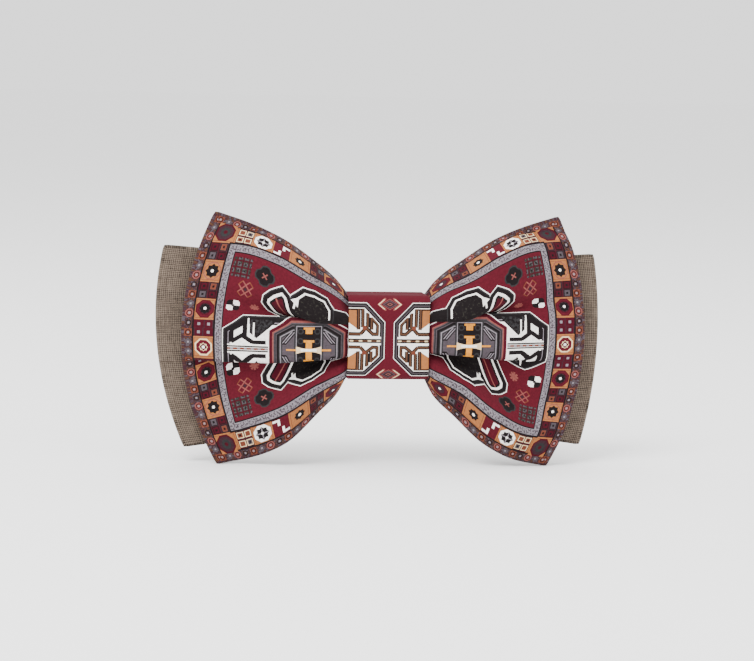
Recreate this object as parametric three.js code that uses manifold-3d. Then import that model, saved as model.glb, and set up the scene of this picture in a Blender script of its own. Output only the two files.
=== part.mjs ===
// A pre-tied bow tie: a printed cotton bow over a wider plain linen bow, both pinched
// into pleats inside a printed knot wrap, with an adjustable neckband folded behind them.
// Units are millimetres: +X to the viewer's right, -Y towards the viewer, +Z up.
// The origin is on the neckband's flat outer face, in line with the middle of the knot.
import * as THREE from "three";
import { mergeVertices } from "three/addons/utils/BufferGeometryUtils.js";
import Module from "manifold-3d";

const wasm = await Module();
wasm.setup();

// ---------------------------------------------------------------- driving dimensions

const GAP = 0.3; // clearance between pieces that touch in the real tie

// Cloth of the two bows: a face, a stiff interlining and a backing, measured along Y.
const CLOTH = { face: 0.6, between: 0.25, interlining: 0.5 };
const BOW_DEPTH = 2 * CLOTH.face + 2 * CLOTH.between + CLOTH.interlining;
const INTERLINING_INSET = 0.03; // share of the panel that the seam allowance takes

const KNOT = { halfWidth: 11.7, halfHeight: 12, corner: 2.6, cloth: 0.7, lining: 0.5 };
const THREAD_RING = { halfWidth: 4, thick: 0.5, corner: 1.3 };
const STITCH = { radius: 0.17, length: 2, pitch: 4, count: 5 };

const BAND = { halfHeight: 8, cloth: 1.1, foldX: 52, innerFoldX: 49, clearOfSlideX: -28 };

// Metal fittings, stamped from sheet.
const METAL = 1;
const LOOP = { barHalf: 0.8, slotEnd: 3.1, slotHalf: 8.4, armHalf: 9.8 };
const HOOK = { x: 7, plateEnd: 6.5, tongueHalf: 3.6, stepStart: 7, stepEnd: 8.2, bendX: 14.2, lipX: 11.7 };
const EYE = { x: 29.25, windowStart: -11.15, windowEnd: -4.3, windowHalf: 5, barHalfX: 0.8, tailLength: 10 };
const SLIDE = { x: -38, halfX: 6, halfZ: 10, barX: 1.6, barY: 0.75, midX: 1, railZ: 1.5, loopLeg: 7 };
const BARTACK = { halfZ: 6.4, swing: 0.7, pitch: 0.8, thread: 0.34, thick: 0.25 };

// Depths of the stack behind the pleats, from the band's outer face at 0 forwards,
// each as [front face, back face].
const layer = (front, thick) => [front, front + thick];
const MAIN_RUN = layer(-BAND.cloth, BAND.cloth);
const RETURN_RUN = layer(-4.4, BAND.cloth);
const RUN_2 = layer(-6, BAND.cloth);
const RUN_1 = layer(-7.7, BAND.cloth);
const STITCH_Y = -8.17;
const WRAP_BACK = -8.5;
const RUN_0 = layer(-11.4, BAND.cloth);
const THREAD_BACK = RUN_0[0] - GAP;
const LINEN_BACK = THREAD_BACK - THREAD_RING.thick - GAP;
const LINEN_VALLEY = LINEN_BACK - BOW_DEPTH;
const PRINT_VALLEY = LINEN_VALLEY - BOW_DEPTH - GAP;
const PLEAT_DEPTH = 5.2;
const PRINT_CREST = PRINT_VALLEY - PLEAT_DEPTH;
const THREAD_FRONT = PRINT_CREST - GAP - THREAD_RING.thick;
const LINING_FRONT = THREAD_FRONT - GAP - KNOT.lining;
const WRAP_FRONT = LINING_FRONT - GAP - KNOT.cloth;

// The two bows. Heights are measured from the knot's middle, and sag is how far the
// outer edge draws in for each square millimetre of height away from edgeMid. The linen
// bow's wings are drawn a little to the left of the printed ones, which shift says.
const WAIST = { halfLength: 12, halfHeight: 9.4 };
const PRINT = {
  reach: 56.6, top: 33.8, bottom: -36.2, edgeMid: 0, sag: 0.0069, shift: 0,
  waistY: PRINT_CREST, pleat: PLEAT_DEPTH, outerY: -18.2, ridge: 3.2,
};
const LINEN = {
  reach: 62.6, top: 24.2, bottom: -31.6, edgeMid: 5, sag: 0.0048, shift: -1.5,
  waistY: LINEN_VALLEY - 0.8 * PLEAT_DEPTH, pleat: 0.8 * PLEAT_DEPTH, outerY: -14.3, ridge: 0.8,
};
const UPPER_VALLEY = { waist: 4.4, wing: 5 };
const LOWER_VALLEY = { waist: -5.6, wing: -7.8 };
const PLEAT_END = 43; // distance from the middle where the pleats have faded out
const VALLEY_WIDTH = { sharp: 2.6, flap: 7 };

// ---------------------------------------------------------------- small helpers

const material = (color, roughness, metalness = 0) =>
  new THREE.MeshStandardMaterial({ color, roughness, metalness });
const FINISH = {
  print: material(0x7d2a35, 0.85),
  linen: material(0x77695b, 0.9),
  interlining: material(0xe8e4da, 0.95),
  thread: material(0x4a3b38, 0.7),
  metal: material(0x9a958c, 0.35, 1),
};

const middle = ([front, back]) => (front + back) / 2;
const smooth = (x) => {
  const c = Math.min(1, Math.max(0, x));
  return c * c * (3 - 2 * c);
};
const mix = THREE.MathUtils.lerp;

function named(name, geometry, finish) {
  const mesh = new THREE.Mesh(geometry, finish);
  mesh.name = name;
  return mesh;
}

// Draws the outline in the YZ plane and gives it a length along X, centred on 0.
function extrudeAlongX(shape, halfLength) {
  const axes = new THREE.Matrix4().makeBasis(
    new THREE.Vector3(0, 1, 0),
    new THREE.Vector3(0, 0, 1),
    new THREE.Vector3(1, 0, 0),
  );
  return new THREE.ExtrudeGeometry(shape, { depth: 2 * halfLength, bevelEnabled: false })
    .translate(0, 0, -halfLength)
    .applyMatrix4(axes);
}

// Draws the outline in the XZ plane and gives it a thickness along Y from front to back.
function plate(shape, [front, back]) {
  return new THREE.ExtrudeGeometry(shape, { depth: back - front, bevelEnabled: false })
    .applyMatrix4(new THREE.Matrix4().makeRotationX(Math.PI / 2))
    .translate(0, back, 0);
}

// Draws a strip that follows a plan-view path and gives it a height along Z.
function strip(path, thick, halfHeight) {
  const points = path.getPoints(9).filter((p, i, all) => i === 0 || p.distanceTo(all[i - 1]) > 1e-6);
  const side = (offset) =>
    points.map((p, i) => {
      const before = points[Math.max(0, i - 1)];
      const after = points[Math.min(points.length - 1, i + 1)];
      const into = p.clone().sub(before).normalize();
      const out = after.clone().sub(p).normalize();
      const along = into.add(out).normalize();
      return new THREE.Vector2(p.x - along.y * offset, p.y + along.x * offset);
    });
  const outline = [...side(thick / 2), ...side(-thick / 2).reverse()];
  return new THREE.ExtrudeGeometry(new THREE.Shape(outline), {
    depth: 2 * halfHeight,
    bevelEnabled: false,
  }).translate(0, 0, -halfHeight);
}

function roundedRing(low, high, halfHeight, corner, thick) {
  const trace = (path, inset) => {
    const r = corner - inset;
    const [a, b, h] = [low + inset, high - inset, halfHeight - inset];
    path.absarc(b - r, h - r, r, 0, Math.PI / 2);
    path.absarc(a + r, h - r, r, Math.PI / 2, Math.PI);
    path.absarc(a + r, r - h, r, Math.PI, 1.5 * Math.PI);
    path.absarc(b - r, r - h, r, 1.5 * Math.PI, 2 * Math.PI);
    path.closePath();
    return path;
  };
  const ring = trace(new THREE.Shape(), 0);
  ring.holes.push(trace(new THREE.Path(), thick));
  return ring;
}

function rectangle(path, x0, z0, x1, z1) {
  path.moveTo(x0, z0).lineTo(x1, z0).lineTo(x1, z1).lineTo(x0, z1).closePath();
  return path;
}

function toSolid(geometry) {
  const bare = geometry.clone().deleteAttribute("normal").deleteAttribute("uv");
  const merged = mergeVertices(bare, 1e-4);
  return new wasm.Manifold(
    new wasm.Mesh({
      numProp: 3,
      vertProperties: merged.attributes.position.array,
      triVerts: new Uint32Array(merged.index.array),
    }),
  );
}

function joined(...geometries) {
  const made = geometries.map(toSolid).reduce((whole, next) => whole.add(next)).getMesh();
  return new THREE.BufferGeometry()
    .setAttribute("position", new THREE.BufferAttribute(made.vertProperties, 3))
    .setIndex(new THREE.BufferAttribute(made.triVerts, 1));
}

// ---------------------------------------------------------------- the bows

// How far a top or bottom edge has risen from the knot (0) to the corner (1).
const flare = (s) => 1 - (1 - s ** 0.75) ** 1.7;

const ROWS = [-1, -0.8, -0.62, -0.5, -0.4, -0.3, -0.16, 0, 0.16, 0.3, 0.4, 0.5, 0.62, 0.8, 1];
const WING_COLUMNS = [0, 0.06, 0.13, 0.22, 0.33, 0.45, 0.58, 0.72, 0.86, 1];
const VALLEY_ROW = 0.4;

// Height of a row t at the knot and at the outer edge, passing through both valleys.
function rowHeight(t, bottom, lower, upper, top) {
  if (t > VALLEY_ROW) return mix(upper, top, (t - VALLEY_ROW) / (1 - VALLEY_ROW));
  if (t < -VALLEY_ROW) return mix(lower, bottom, (-t - VALLEY_ROW) / (1 - VALLEY_ROW));
  return mix(lower, upper, (t + VALLEY_ROW) / (2 * VALLEY_ROW));
}

function heightAt(bow, s, t) {
  const { halfHeight } = WAIST;
  const inner = rowHeight(t, -halfHeight, LOWER_VALLEY.waist, UPPER_VALLEY.waist, halfHeight);
  const outer = rowHeight(t, bow.bottom, bow.bottom / 3, bow.top / 3, bow.top);
  const edge = smooth((Math.abs(t) - VALLEY_ROW) / (1 - VALLEY_ROW));
  return mix(inner, outer, mix(s * s, flare(s), edge));
}

function reachAt(bow, s, t) {
  const edgeZ = rowHeight(t, bow.bottom, bow.bottom / 3, bow.top / 3, bow.top) - bow.edgeMid;
  return mix(WAIST.halfLength, bow.reach - bow.sag * edgeZ * edgeZ, s);
}

// Depth of a bow's front face: a gently turning wing, two valleys and the ridge between.
function frontY(bow, x, z) {
  const out = (x - WAIST.halfLength) / (bow.reach - WAIST.halfLength);
  const fade = (x - WAIST.halfLength) / (PLEAT_END - WAIST.halfLength);
  const spread = smooth(fade * 1.6);
  const upper = mix(UPPER_VALLEY.waist, UPPER_VALLEY.wing, spread);
  const lower = mix(LOWER_VALLEY.waist, LOWER_VALLEY.wing, spread);
  const flap = mix(VALLEY_WIDTH.sharp, VALLEY_WIDTH.flap, spread);
  const valley = (d) => Math.exp(-((d / (d > 0 ? flap : VALLEY_WIDTH.sharp)) ** 2));
  const pleats = bow.pleat * (1 - smooth(fade)) * (valley(z - upper) + valley(lower - z));
  const rise = Math.sin(Math.PI * Math.min(1, Math.max(0, fade)));
  const across = (z - (upper + lower) / 2) / 3.6;
  return mix(bow.waistY, bow.outerY, smooth(out)) + pleats - bow.ridge * rise * Math.exp(-across * across);
}

// A closed cloth shell from the left wing's edge through the waist to the right wing's.
function clothShell(bow, fromFront, thick, inset = 0) {
  const columns = [];
  for (const s of [...WING_COLUMNS].reverse()) columns.push([-1, s]);
  columns.push([0, 0]);
  for (const s of WING_COLUMNS) columns.push([1, s]);
  const shrink = (value) => Math.sign(value) * Math.min(Math.abs(value), 1 - inset);

  const positions = [];
  for (const back of [0, thick])
    for (const [side, s] of columns)
      for (const t of ROWS) {
        const [si, ti] = [shrink(s), shrink(t)];
        const x = reachAt(bow, si, ti);
        const z = heightAt(bow, si, ti);
        positions.push(side * x + bow.shift * si, frontY(bow, x, z) + fromFront + back, z);
      }

  const rows = ROWS.length;
  const sheet = columns.length * rows;
  const at = (i, j, back) => back * sheet + i * rows + j;
  const faces = [];
  const quad = (a, b, c, d) => faces.push(a, b, c, a, c, d);
  for (let i = 0; i + 1 < columns.length; i++)
    for (let j = 0; j + 1 < rows; j++) {
      quad(at(i, j, 0), at(i + 1, j, 0), at(i + 1, j + 1, 0), at(i, j + 1, 0));
      quad(at(i, j, 1), at(i, j + 1, 1), at(i + 1, j + 1, 1), at(i + 1, j, 1));
    }
  for (let i = 0; i + 1 < columns.length; i++) {
    quad(at(i, 0, 1), at(i + 1, 0, 1), at(i + 1, 0, 0), at(i, 0, 0));
    quad(at(i, rows - 1, 0), at(i + 1, rows - 1, 0), at(i + 1, rows - 1, 1), at(i, rows - 1, 1));
  }
  const last = columns.length - 1;
  for (let j = 0; j + 1 < rows; j++) {
    quad(at(0, j, 0), at(0, j + 1, 0), at(0, j + 1, 1), at(0, j, 1));
    quad(at(last, j, 1), at(last, j + 1, 1), at(last, j + 1, 0), at(last, j, 0));
  }
  return new THREE.BufferGeometry()
    .setAttribute("position", new THREE.Float32BufferAttribute(positions, 3))
    .setIndex(faces);
}

function makeBow(name, bow, finish) {
  const coreAt = CLOTH.face + CLOTH.between;
  const backingAt = coreAt + CLOTH.interlining + CLOTH.between;
  return [
    named(`${name}_bow_face`, clothShell(bow, 0, CLOTH.face), finish),
    named(
      `${name}_bow_interlining`,
      clothShell(bow, coreAt, CLOTH.interlining, INTERLINING_INSET),
      FINISH.interlining,
    ),
    named(`${name}_bow_backing`, clothShell(bow, backingAt, CLOTH.face), finish),
  ];
}

// ---------------------------------------------------------------- the knot

function makeKnot() {
  const { halfWidth, halfHeight, corner, cloth, lining } = KNOT;
  const wrap = roundedRing(WRAP_FRONT, WRAP_BACK, halfHeight, corner, cloth);
  const inset = cloth + GAP;
  const inner = roundedRing(
    WRAP_FRONT + inset, WRAP_BACK - inset, halfHeight - inset, corner - inset, lining,
  );
  const threadHeight = WAIST.halfHeight + GAP + THREAD_RING.thick;
  const thread = roundedRing(
    THREAD_FRONT, THREAD_BACK, threadHeight, THREAD_RING.corner, THREAD_RING.thick,
  );
  const pieces = [
    named("knot_wrap", extrudeAlongX(wrap, halfWidth), FINISH.print),
    named("knot_wrap_lining", extrudeAlongX(inner, halfWidth - 0.5), FINISH.interlining),
    named("waist_thread", extrudeAlongX(thread, THREAD_RING.halfWidth), FINISH.thread),
  ];
  for (let i = 0; i < STITCH.count; i++) {
    const stitch = named(
      `knot_stitch_${i + 1}`,
      new THREE.CapsuleGeometry(STITCH.radius, STITCH.length, 2, 6),
      FINISH.thread,
    );
    stitch.rotation.x = Math.PI / 2;
    stitch.position.set((i - (STITCH.count - 1) / 2) * STITCH.pitch, STITCH_Y, 0);
    pieces.push(stitch);
  }
  return pieces;
}

// ---------------------------------------------------------------- the neckband

// Half a turn from one run of the band to another, on the side that "side" points to.
function turn(path, x, fromY, toY, side) {
  const radius = Math.abs(toY - fromY) / 2;
  const start = fromY > toY ? Math.PI / 2 : -Math.PI / 2;
  const clockwise = side > 0 === fromY > toY;
  path.absarc(x, (fromY + toY) / 2, radius, start, -start, clockwise);
}

function makeNeckband() {
  const [main, back, two, one, zero] = [MAIN_RUN, RETURN_RUN, RUN_2, RUN_1, RUN_0].map(middle);
  const path = new THREE.Path().moveTo(EYE.x + EYE.tailLength, back);
  path.lineTo(EYE.x, back);
  turn(path, EYE.x, back, main, -1);
  path.lineTo(BAND.foldX, main);
  turn(path, BAND.foldX, main, zero, 1);
  path.lineTo(-BAND.foldX, zero);
  turn(path, -BAND.foldX, zero, one, -1);
  path.lineTo(BAND.innerFoldX, one);
  turn(path, BAND.innerFoldX, one, two, 1);
  path.lineTo(-BAND.foldX, two);
  turn(path, -BAND.foldX, two, main, -1);
  path.lineTo(BAND.clearOfSlideX, main); // from here to the hook the outer face is bare
  path.lineTo(HOOK.x, main);
  turn(path, HOOK.x, main, back, 1);

  const returnRun = new THREE.Path()
    .moveTo(HOOK.x - GAP, back)
    .lineTo(SLIDE.x + SLIDE.loopLeg + GAP, back);
  return [
    named("neckband", strip(path, BAND.cloth, BAND.halfHeight), FINISH.linen),
    named("neckband_return", strip(returnRun, BAND.cloth, BAND.halfHeight), FINISH.linen),
    named("eye_bartack", bartack(EYE.x + 0.7 * EYE.tailLength, 0.1), FINISH.thread),
  ];
}

// A zigzag row of thread across the band, lying on a face at depth y.
function bartack(x, y) {
  const { halfZ, swing, pitch, thread, thick } = BARTACK;
  const count = Math.round((2 * halfZ) / pitch);
  const line = [];
  for (let i = 0; i <= count; i++)
    line.push(new THREE.Vector2(x + (i % 2 ? swing : -swing), -halfZ + i * pitch));
  const shift = (dx) => line.map((p) => new THREE.Vector2(p.x + dx, p.y));
  const outline = [...shift(thread), ...shift(-thread).reverse()];
  return plate(new THREE.Shape(outline), [y, y + thick]);
}

// ---------------------------------------------------------------- the metal fittings

const barY = (middle(MAIN_RUN) + middle(RETURN_RUN)) / 2;
const plateY = [barY - METAL / 2, barY + METAL / 2];

// Stamped plate that the band loops round, then a tongue that steps up over the eye's
// closing bar and turns down through its window into a short lip.
function makeHook() {
  const { armHalf, barHalf, slotEnd, slotHalf } = LOOP;
  const body = new THREE.Shape()
    .moveTo(-barHalf, -armHalf)
    .lineTo(slotEnd + 1, -armHalf)
    .lineTo(HOOK.plateEnd, -HOOK.tongueHalf)
    .lineTo(HOOK.plateEnd, HOOK.tongueHalf)
    .lineTo(slotEnd + 1, armHalf)
    .lineTo(-barHalf, armHalf)
    .closePath();
  body.holes.push(rectangle(new THREE.Path(), barHalf, -slotHalf, slotEnd, slotHalf));
  const rise = METAL / 2 + 0.4 + METAL / 2;
  const tongue = new THREE.Path().moveTo(HOOK.plateEnd - 0.6, barY).lineTo(HOOK.stepStart, barY);
  tongue.lineTo(HOOK.stepEnd, barY + rise);
  tongue.lineTo(HOOK.bendX, barY + rise);
  turn(tongue, HOOK.bendX, barY + rise, barY - rise, 1);
  tongue.lineTo(HOOK.lipX, barY - rise);
  const geometry = joined(plate(body, plateY), strip(tongue, METAL - 0.05, HOOK.tongueHalf));
  return named("hook", geometry.translate(HOOK.x, 0, 0), FINISH.metal);
}

function makeEye() {
  const { armHalf, barHalf, slotEnd, slotHalf } = LOOP;
  const { windowStart, windowEnd, windowHalf, barHalfX } = EYE;
  const left = windowStart - 2 * barHalfX;
  const neck = windowHalf + 1.6;
  const body = new THREE.Shape()
    .moveTo(left, -neck)
    .lineTo(windowEnd, -neck)
    .lineTo(-slotEnd, -armHalf)
    .lineTo(barHalf, -armHalf)
    .lineTo(barHalf, armHalf)
    .lineTo(-slotEnd, armHalf)
    .lineTo(windowEnd, neck)
    .lineTo(left, neck)
    .closePath();
  body.holes.push(rectangle(new THREE.Path(), -slotEnd, -slotHalf, -barHalf, slotHalf));
  body.holes.push(rectangle(new THREE.Path(), windowStart, -windowHalf, windowEnd, windowHalf));
  return named("eye", plate(body, plateY).translate(EYE.x, 0, 0), FINISH.metal);
}

// Three-bar slide: two outer bars behind the band, and a middle bar in front of it that
// holds the band's sewn end.
function makeSlide() {
  const { x, halfX, halfZ, barX, barY: barDepth, midX, railZ } = SLIDE;
  const frameY = [GAP, GAP + 0.9];
  const midY = layer(RETURN_RUN[1] + 0.15, barDepth);
  const frame = rectangle(new THREE.Shape(), -halfX, -halfZ, halfX, halfZ);
  frame.holes.push(
    rectangle(new THREE.Path(), barX - halfX, railZ - halfZ, halfX - barX, halfZ - railZ),
  );
  const bar = rectangle(new THREE.Shape(), -midX / 2, -halfZ, midX / 2, halfZ);
  const post = (side) =>
    plate(
      rectangle(new THREE.Shape(), -midX, side * halfZ - (side > 0 ? railZ : 0),
        midX, side * halfZ + (side > 0 ? 0 : railZ)),
      [midY[0], frameY[1]],
    );
  const geometry = joined(plate(frame, frameY), plate(bar, midY), post(1), post(-1));
  return named("adjuster_slide", geometry.translate(x, 0, 0), FINISH.metal);
}

function makeSlideLoop() {
  const cloth = 0.85;
  const near = middle(RETURN_RUN);
  const far = MAIN_RUN[0] - GAP - cloth / 2;
  const path = new THREE.Path().moveTo(SLIDE.loopLeg, near).lineTo(-SLIDE.midX / 2, near);
  turn(path, -SLIDE.midX / 2, near, far, -1);
  path.lineTo(SLIDE.loopLeg, far);
  const loop = strip(path, cloth, BAND.halfHeight).translate(SLIDE.x, 0, 0);
  const tackY = near - cloth / 2 - 0.1 - BARTACK.thick;
  return [
    named("neckband_end_loop", loop, FINISH.linen),
    named("slide_bartack", bartack(SLIDE.x + 0.7 * SLIDE.loopLeg, tackY), FINISH.thread),
  ];
}

// ---------------------------------------------------------------- the assembly

const bowTie = new THREE.Group();
bowTie.add(
  ...makeBow("print", PRINT, FINISH.print),
  ...makeBow("linen", LINEN, FINISH.linen),
  ...makeKnot(),
  ...makeNeckband(),
  makeSlide(),
  ...makeSlideLoop(),
  makeHook(),
  makeEye(),
);

export default bowTie;
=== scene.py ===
"""The looks of a pre-tied bow tie: a rug-patterned cotton bow over a taupe linen bow, both
pleated into a printed knot, with an adjustable linen neckband folded behind them.

Lengths are in millimetres until a mesh is made. A cloth's own coordinates are (u, v): u runs
along the bow or the band, and v across it from its long axis. The print is the same in all
four quarters, so it's drawn in a, the size of u, and b, the size of v.
"""

import math
from functools import partialmethod

import bmesh
import bpy
import numpy as np
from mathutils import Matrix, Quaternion, Vector


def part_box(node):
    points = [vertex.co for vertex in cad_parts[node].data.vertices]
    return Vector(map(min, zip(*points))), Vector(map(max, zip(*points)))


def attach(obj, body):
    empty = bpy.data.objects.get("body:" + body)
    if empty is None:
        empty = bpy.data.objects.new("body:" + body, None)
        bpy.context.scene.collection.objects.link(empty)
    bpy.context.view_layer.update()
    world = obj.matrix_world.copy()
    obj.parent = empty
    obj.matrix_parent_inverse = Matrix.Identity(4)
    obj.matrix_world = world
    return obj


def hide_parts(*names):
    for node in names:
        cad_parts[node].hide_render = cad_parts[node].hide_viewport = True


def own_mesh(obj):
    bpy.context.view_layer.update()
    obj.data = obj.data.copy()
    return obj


MM = 0.001
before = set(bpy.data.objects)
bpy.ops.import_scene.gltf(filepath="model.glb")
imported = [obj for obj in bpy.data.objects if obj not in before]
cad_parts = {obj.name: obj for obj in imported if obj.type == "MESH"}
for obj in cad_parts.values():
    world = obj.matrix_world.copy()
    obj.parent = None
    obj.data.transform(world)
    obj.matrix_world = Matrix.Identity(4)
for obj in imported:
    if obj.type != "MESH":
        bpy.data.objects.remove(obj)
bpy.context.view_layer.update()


def cad_box_mm(node):
    """The middle of a CAD node's box and its half size, in millimetres."""
    low, high = (np.array(corner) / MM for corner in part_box(node))
    return (low + high) / 2, (high - low) / 2


# ---------------- small helpers


def smooth(x):
    x = np.clip(x, 0, 1)
    return x * x * (3 - 2 * x)


def mix(a, b, t):
    return a + (b - a) * t


def window(v, low, high, soft):
    """1 between low and high, and 0 beyond, with soft ends."""
    return smooth((v - low + soft / 2) / soft) * smooth((high + soft / 2 - v) / soft)


def curve_through(stations, values):
    """A smooth function through the given values that doesn't overshoot between them."""
    x, y = np.array(stations, float), np.array(values, float)
    slope = np.diff(y) / np.diff(x)
    tangent = np.zeros_like(y)
    inner = slope[:-1] * slope[1:] > 0
    tangent[1:-1][inner] = 2 / (1 / slope[:-1][inner] + 1 / slope[1:][inner])
    tangent[0], tangent[-1] = slope[0], slope[-1]

    def value(s):
        s = np.clip(s, x[0], x[-1])
        i = np.clip(np.searchsorted(x, s, side="right") - 1, 0, len(x) - 2)
        h = x[i + 1] - x[i]
        t = (s - x[i]) / h
        return (
            (1 + 2 * t) * (1 - t) ** 2 * y[i]
            + t * (1 - t) ** 2 * h * tangent[i]
            + t * t * (3 - 2 * t) * y[i + 1]
            + t * t * (t - 1) * h * tangent[i + 1]
        )

    return value


def at_stations(values, s):
    return curve_through(STATIONS, values)(s)


def of_side(pair, side):
    """The left wing's value at side -1, the right one's at 1, and a blend between."""
    left, right = pair
    return mix(left, right, (side + 1) / 2)


def points_of(*coordinates):
    """Points from their coordinates, each an array or one number."""
    return np.stack(np.broadcast_arrays(*coordinates), -1)


def unit(vectors):
    return vectors / np.maximum(np.linalg.norm(vectors, axis=-1, keepdims=True), 1e-9)


def add_object(name, data):
    made = bpy.data.objects.new(name, data)
    bpy.context.scene.collection.objects.link(made)
    return made


def make_piece(name, verts, faces, material, body, cloth=None):
    """A smooth-shaded mesh from points in millimetres, riding on a CAD body."""
    mesh = bpy.data.meshes.new(name)
    mesh.from_pydata((np.asarray(verts) * MM).tolist(), [], [list(face) for face in faces])
    if cloth is not None:
        layer = mesh.attributes.new("cloth", "FLOAT_VECTOR", "POINT")
        layer.data.foreach_set("vector", np.pad(cloth, ((0, 0), (0, 1))).ravel())
    mesh.shade_smooth()
    mesh.materials.append(material)
    piece = add_object(name, mesh)
    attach(piece, body)
    return piece


def tube_faces(rows, columns):
    """Quads round a tube of that many rows of points, with a cap at each end."""
    ends = np.arange(rows) * columns
    caps = [ends[::-1].tolist(), (ends + columns - 1).tolist()]
    return grid_faces(rows, columns, close_rows=True).tolist() + caps


def grid_faces(rows, columns, close_rows=False, close_columns=False):
    """Quads of a grid whose point (i, j) is number i * columns + j."""
    across = np.arange(rows - (not close_rows))
    along = np.arange(columns - (not close_columns))
    i, j = (index.ravel() for index in np.meshgrid(across, along, indexing="ij"))
    k, m = (i + 1) % rows, (j + 1) % columns
    return np.stack([i * columns + j, k * columns + j, k * columns + m, i * columns + m], 1)


# ---------------- the shape of the bows

WAIST_X = 11.0  # half the length of the straight part inside the knot
STATIONS = [0, 0.1, 0.25, 0.5, 0.75, 1]  # shares of the way from the waist to a wing's edge
SECTION_POINTS = 260  # on each half of a cross-section
MOST_SCALE = 2.2  # the largest scale of the pleats' angles that is tried


class Bow:
    """One bow: how its flat panel is pleated at every distance from the knot.

    A cross-section is drawn by turning: the cloth runs down from its top edge, and at each
    point of its width it leans by an angle away from straight down. A positive angle takes
    it back, a negative one forward. The pleats' angles are scaled at each section until the
    section is as high as the wing is there.

    A pleat is (lowest row, highest row, how soft its ends are, its angle at each station),
    in degrees. The fold, which isn't scaled, is (its top row at each station, how soft its
    ends are, its length, its angle, and what share of it the right wing has).
    """

    def __init__(self, **facts):
        self.__dict__.update(facts)

    def lean(self, s, v, side_of):
        """The pleats' angles (scaled later) and the fold's own angle, over s and v."""
        s, v = s[:, None], v[None, :]
        loose = np.zeros(np.broadcast(s, v).shape)
        for low, high, soft, angles in self.pleats:
            loose = loose + window(v, low, high, soft) * np.radians(at_stations(angles, s))
        fixed = np.zeros_like(loose)
        if self.fold:
            tops, soft, lengths, angles, right_shares = self.fold
            share = of_side((1, at_stations(right_shares, s)), side_of[:, None])
            top = at_stations(tops, s)
            low = top - at_stations(lengths, s) * share
            fixed = window(v, low, top, soft) * share * np.radians(at_stations(angles, s))
        return loose, fixed

    def half_section(self, s, side, want, side_of):
        """One half of the sections, from the axis to the upper (1) or lower (-1) edge."""
        v = side * np.linspace(0, self.half_width, SECTION_POINTS)
        step = self.half_width / (SECTION_POINTS - 1)
        loose, fixed = self.lean(s, v, side_of)

        def run(turn):
            middle = (turn[:, 1:] + turn[:, :-1]) / 2
            steps = np.stack([np.cos(middle), -side * np.sin(middle)]) * step
            return np.cumsum(np.pad(steps, ((0, 0), (0, 0), (1, 0))), 2)

        # the scale is found by halving its range
        low, high = np.full((len(s), 1), 0.0), np.full((len(s), 1), MOST_SCALE)
        for _ in range(30):
            scale = (low + high) / 2
            away, _ = run(loose * scale + fixed)
            tall = away[:, -1:] > want[:, None]
            low, high = np.where(tall, scale, low), np.where(tall, high, scale)
        away, back = run(loose * scale + fixed)
        away *= want[:, None] / away[:, -1:]
        return np.abs(v), away, back

    def sections(self, s, rows, side_of):
        """Heights and depths, in millimetres, of the sections at s, at the cloth rows.

        side_of is -1 on the left wing and 1 on the right one: the two were pinched by hand,
        so the pleats of one sit a little higher.
        """
        top = at_stations(self.tops, s) * of_side(self.top_share, side_of)
        bottom = at_stations(self.bottoms, s) * of_side(self.bottom_share, side_of)
        axis = at_stations(self.axis_z, s) + self.uneven * side_of
        upper = self.half_section(s, 1, top - axis, side_of)
        lower = self.half_section(s, -1, axis - bottom, side_of)
        depths = np.concatenate([upper[2], lower[2]], 1)
        spread = (depths.max(1) - depths.min(1))[:, None]
        room = at_stations(self.room, s)[:, None]
        squeeze = np.minimum(1, room / np.maximum(spread, 1e-6))
        z, y = np.empty((2, len(s), len(rows)))
        for i in range(len(s)):
            for side, (v, away, back) in ((1, upper), (-1, lower)):
                mine = rows >= 0 if side > 0 else rows < 0
                z[i, mine] = axis[i] + side * np.interp(np.abs(rows[mine]), v, away[i])
                y[i, mine] = np.interp(np.abs(rows[mine]), v, back[i])
        return z, at_stations(self.crest_y, s)[:, None] + y * squeeze

    def surface(self, columns, rows):
        """Points over the whole bow, left wing to right, and their cloth coordinates.

        columns are signed and run from -1 to 1. Those nearer to 0 than the waist's share lie
        on the straight waist.
        """
        s = np.clip(np.abs(columns) - self.waist_share, 0, None) / (1 - self.waist_share)
        z, y = self.sections(s, rows, np.tanh(columns / self.waist_share))
        edge_z, _ = self.sections(np.ones(2), rows, np.array([-1, 1]))
        side = np.sign(columns)[:, None]
        height = np.where(side > 0, edge_z[1], edge_z[0]) - of_side(self.edge_middle, side)
        reach = of_side(self.reach, side) - of_side(self.sag, side) * height**2
        out = s[:, None]
        waist = np.minimum(np.abs(columns), self.waist_share)[:, None] / self.waist_share
        x = waist * WAIST_X + out * (reach - WAIST_X)
        y = self.wrinkled(columns, s, rows, y)
        y = self.front_limit(y)
        along = waist * WAIST_X + out * (self.flat_reach - WAIST_X)
        return points_of(side * x, y, z), points_of(side * along, rows[None, :])

    def wrinkled(self, columns, s, rows, y):
        """Small puckers that start at the knot and die out along the wing."""
        s, v = s[:, None], rows[None, :]
        side = np.sign(columns)[:, None]
        near = smooth(s / 0.04) * np.exp(-s / 0.22)
        far = smooth(s / 0.2) * (1 - smooth((s - 0.55) / 0.45))
        # waves of several lengths across the cloth, out of step between the wings
        fine = np.sin(v / 1.15 + 2.4 * np.sin(v / 5.3 + side) + 9 * s)
        broad = np.sin(v / 4.6 + 1.3 * side + 5 * s) + 0.6 * np.sin(v / 2.9 - 7 * s + 2.1 * side)
        return y + self.pucker * (near * fine + 0.55 * far * broad)

    def front_limit(self, y):
        """Presses the cloth against what lies behind it instead of running into it."""
        soft, give = 0.8, 0.4
        over = (y - self.back_limit) / soft
        pressed = np.where(over > 0, np.tanh(np.maximum(over, 0)) * give, over)
        return self.back_limit + soft * pressed


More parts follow.
